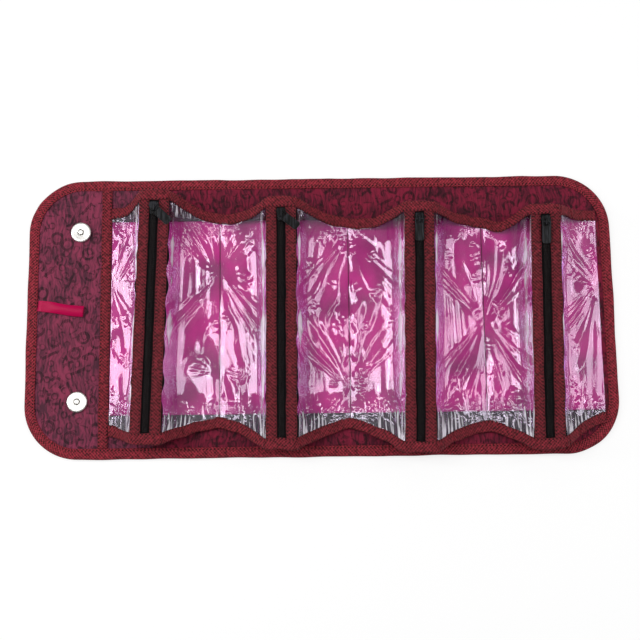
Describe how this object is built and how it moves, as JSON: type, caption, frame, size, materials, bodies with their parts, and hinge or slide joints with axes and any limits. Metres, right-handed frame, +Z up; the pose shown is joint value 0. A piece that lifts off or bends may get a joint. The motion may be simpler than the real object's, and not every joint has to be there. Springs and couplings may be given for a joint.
{
  "type": "folding cosmetic organizer",
  "caption": "Roll-up fabric cosmetic organizer laid open: a padded, bound mat with zipped clear pockets side by side, a snap flap at one end and a ribbon hanging loop.",
  "frame": {"origin": "on the table under the middle of the open mat", "axes": "+X along the mat from the flap to the free end, +Y across it towards the sliders at rest, +Z up from the table"},
  "size_m": [0.52, 0.25, 0.0394],
  "materials": {
    "print": "printed woven",
    "binding": "grosgrain",
    "lining": "smooth coated",
    "film": "clear, soft",
    "zip": "nylon coil on woven tape",
    "slider": "gloss black enamel",
    "nickel": "nickel plated",
    "ribbon": "satin"
  },
  "bodies": {
    "pocket_1": {"back_panel_1": "print", "edge_binding_far_1": "binding", "edge_binding_near_1": "binding", "seam_strip": "binding", "pocket_floor_1": "lining", "gusset_far_1": "binding", "gusset_near_1": "binding", "window_left_1": "film", "window_right_1": "film", "facing_left_1": "binding", "facing_right_1": "binding", "zip_1": "zip"},
    "flap": {"flap_panel": "print", "flap_binding": "binding", "snap_cap_far": "nickel", "snap_cap_near": "nickel"},
    "pocket_2": {"back_panel_2": "print", "edge_binding_far_2": "binding", "edge_binding_near_2": "binding", "pocket_floor_2": "lining", "gusset_far_2": "binding", "gusset_near_2": "binding", "window_left_2": "film", "window_right_2": "film", "facing_left_2": "binding", "facing_right_2": "binding", "zip_2": "zip"},
    "pocket_3": {"back_panel_3": "print", "edge_binding_far_3": "binding", "edge_binding_near_3": "binding", "pocket_floor_3": "lining", "gusset_far_3": "binding", "gusset_near_3": "binding", "window_left_3": "film", "window_right_3": "film", "facing_left_3": "binding", "facing_right_3": "binding", "zip_3": "zip"},
    "pocket_4": {"back_panel_4": "print", "end_binding": "binding", "snap_socket_far": "nickel", "snap_socket_near": "nickel", "pocket_floor_4": "lining", "gusset_far_4": "binding", "gusset_near_4": "binding", "window_left_4": "film", "window_right_4": "film", "facing_left_4": "binding", "facing_right_4": "binding", "zip_4": "zip"},
    "slider_1": {"zip_slider_1": "slider"},
    "pull_1": {"zip_pull_1": "slider"},
    "slider_2": {"zip_slider_2": "slider"},
    "pull_2": {"zip_pull_2": "slider"},
    "slider_3": {"zip_slider_3": "slider"},
    "pull_3": {"zip_pull_3": "slider"},
    "slider_4": {"zip_slider_4": "slider"},
    "pull_4": {"zip_pull_4": "slider"},
    "loop": {"hang_loop": "ribbon"}
  },
  "joints": [
    {"name": "flap_fold", "type": "hinge", "parent": "pocket_1", "child": "flap", "pos_m": [-0.195, 0, 0.007], "axis": [0, 1, 0], "range_deg": [0, 85]},
    {"name": "fold_12", "type": "hinge", "parent": "pocket_1", "child": "pocket_2", "pos_m": [-0.089, 0, 0.007], "axis": [0, -1, 0], "range_deg": [0, 85]},
    {"name": "fold_23", "type": "hinge", "parent": "pocket_2", "child": "pocket_3", "pos_m": [0.025, 0, 0.007], "axis": [0, -1, 0], "range_deg": [0, 94]},
    {"name": "fold_34", "type": "hinge", "parent": "pocket_3", "child": "pocket_4", "pos_m": [0.144, 0, 0.007], "axis": [0, -1, 0], "range_deg": [0, 96]},
    {"name": "slider_1_slide", "type": "slide", "parent": "pocket_1", "child": "slider_1", "axis": [-0.0294, -0.9995, -0.0099], "range_m": [0, 0.188]},
    {"name": "pull_1_tip", "type": "hinge", "parent": "slider_1", "child": "pull_1", "pos_m": [-0.14422, 0.09068, 0.03751], "axis": [-0.6907, -0.7231, -0.0074], "range_deg": [0, 165]},
    {"name": "slider_2_slide", "type": "slide", "parent": "pocket_2", "child": "slider_2", "axis": [-0.0051, -0.9999, -0.0149], "range_m": [0, 0.187]},
    {"name": "pull_2_tip", "type": "hinge", "parent": "slider_2", "child": "pull_2", "pos_m": [-0.03352, 0.08366, 0.03748], "axis": [-0.6197, -0.7848, -0.0118], "range_deg": [0, 165]},
    {"name": "slider_3_slide", "type": "slide", "parent": "pocket_3", "child": "slider_3", "axis": [-0.0173, -0.9995, -0.0251], "range_m": [0, 0.185]},
    {"name": "pull_3_tip", "type": "hinge", "parent": "slider_3", "child": "pull_3", "pos_m": [0.08688, 0.07763, 0.03741], "axis": [-0.9998, 0.0173, 0], "range_deg": [0, 165]},
    {"name": "slider_4_slide", "type": "slide", "parent": "pocket_4", "child": "slider_4", "axis": [-0.018, -0.999, -0.0414], "range_m": [0, 0.179]},
    {"name": "pull_4_tip", "type": "hinge", "parent": "slider_4", "child": "pull_4", "pos_m": [0.19689, 0.07359, 0.03729], "axis": [-0.9998, 0.018, 0], "range_deg": [0, 165]},
    {"name": "loop_turn", "type": "hinge", "parent": "flap", "child": "loop", "pos_m": [-0.2499, 0.0106, 0.00575], "axis": [-0.1392, -0.9903, 0], "range_deg": [0, 180]}
  ]
}
